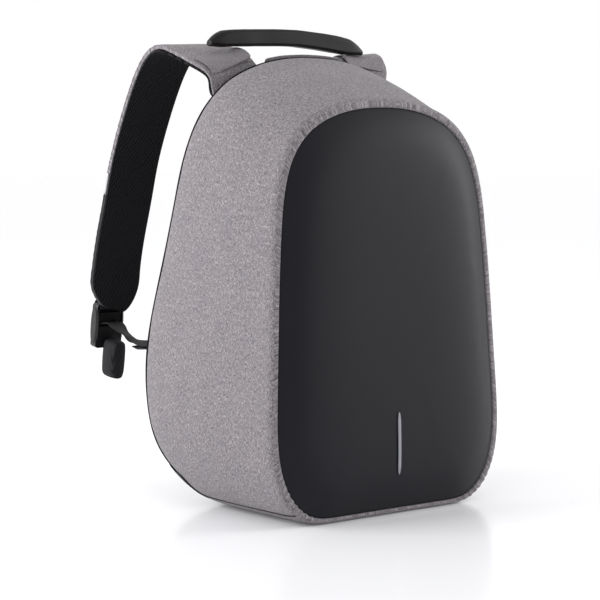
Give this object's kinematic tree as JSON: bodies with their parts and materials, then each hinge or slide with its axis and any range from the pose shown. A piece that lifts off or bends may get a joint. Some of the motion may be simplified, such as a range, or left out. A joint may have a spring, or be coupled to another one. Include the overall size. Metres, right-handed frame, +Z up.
{
  "type": "backpack",
  "caption": "Standing backpack: padded grey cloth shell round a smooth dark front panel, with arched shoulder straps, a top handle and strap adjusters.",
  "frame": {"origin": "middle of the flat underside that the bag stands on", "axes": "+X across the bag, +Y from the front panel towards the wearer's back, +Z up"},
  "size_m": [0.3168, 0.3911, 0.4885],
  "materials": {
    "gusset": "matte melange weave",
    "front_border": "matte melange weave",
    "base_panel": "matte melange weave",
    "yoke": "matte melange weave",
    "strap_cloth": "matte melange weave, padded",
    "strap_mesh": "spacer mesh",
    "back_panel": "spacer mesh",
    "front_panel": "smooth satin coated cloth",
    "handle": "satin coated cloth, padded",
    "rear_strip": "coated cloth",
    "webbing": "ribbed webbing",
    "adjuster": "moulded, fine satin",
    "reflector": "light reflective tape"
  },
  "bodies": {
    "root": {"gusset": "gusset", "base_panel": "base_panel", "rear_base_strip": "rear_strip", "front_border": "front_border", "front_panel": "front_panel", "reflective_strip": "reflector", "back_panel": "back_panel", "yoke": "yoke", "strap_left": "strap_cloth", "strap_mesh_left": "strap_mesh", "strap_right": "strap_cloth", "strap_mesh_right": "strap_mesh", "strap_tab_left": "reflector", "handle_patch_left": "strap_cloth", "handle_patch_right": "strap_cloth", "carry_handle": "handle", "ladder_lock_left": "adjuster", "ladder_lock_right": "adjuster", "lock_loop_left": "webbing", "lock_loop_right": "webbing", "lower_webbing_left": "webbing", "lower_webbing_right": "webbing", "webbing_anchor_left": "webbing", "webbing_anchor_right": "webbing", "webbing_bundle_left": "webbing", "webbing_bundle_right": "webbing"}
  },
  "joints": []
}
